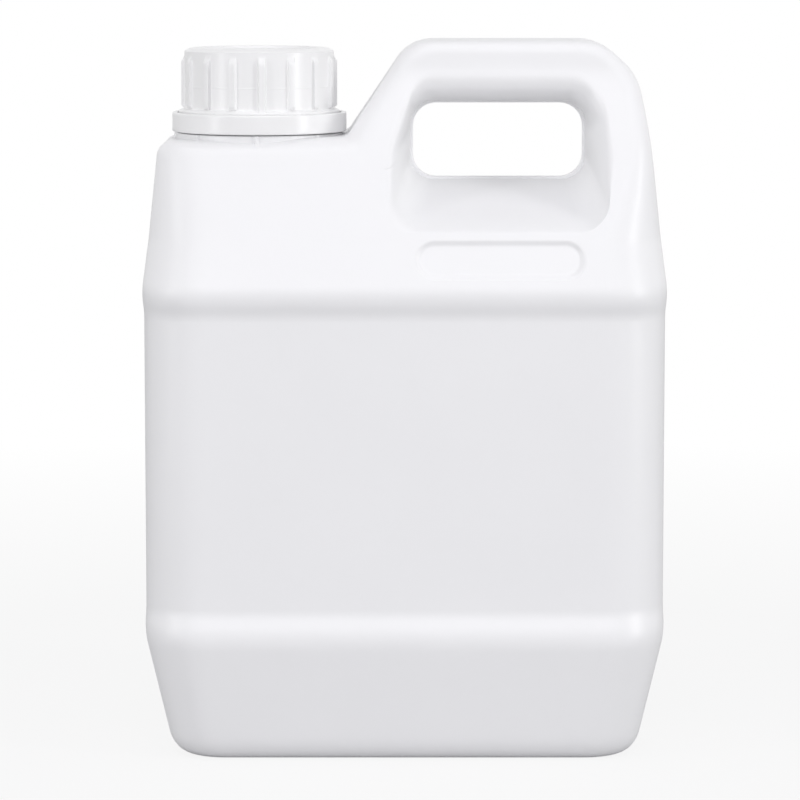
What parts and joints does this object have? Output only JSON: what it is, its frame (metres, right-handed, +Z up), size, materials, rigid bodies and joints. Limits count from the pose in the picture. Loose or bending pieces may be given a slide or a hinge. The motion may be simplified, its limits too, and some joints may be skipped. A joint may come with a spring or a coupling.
{
  "type": "plastic jug",
  "caption": "Blow-moulded jug with a through handle and label panels, and a ribbed screw cap with a tamper-evident ring on its threaded neck.",
  "frame": {"origin": "middle of the base, on the surface the jug stands on", "axes": "+Z up, front of the jug faces -Y, handle towards +X and neck towards -X"},
  "size_m": [0.1572, 0.087, 0.2157],
  "materials": {
    "blown_hdpe": "satin",
    "cap_pp": "satin",
    "liner_foam": "matte"
  },
  "bodies": {
    "bottle": {"bottle": "blown_hdpe", "tamper_ring": "cap_pp"},
    "liner": {"liner": "liner_foam"},
    "cap": {"cap": "cap_pp"}
  },
  "joints": [
    {"name": "cap_lift", "type": "slide", "parent": "bottle", "child": "liner", "axis": [0, 0, 1], "range_m": [0, 0.0085]},
    {"name": "cap_turn", "type": "hinge", "parent": "liner", "child": "cap", "pos_m": [-0.0442, 0, 0.2], "axis": [0, 0, 1], "range_deg": [0, 720]}
  ],
  "couplings": [
    {"joint": "cap_lift", "follows": "cap_turn", "m_per_rad": 0.00066845}
  ]
}
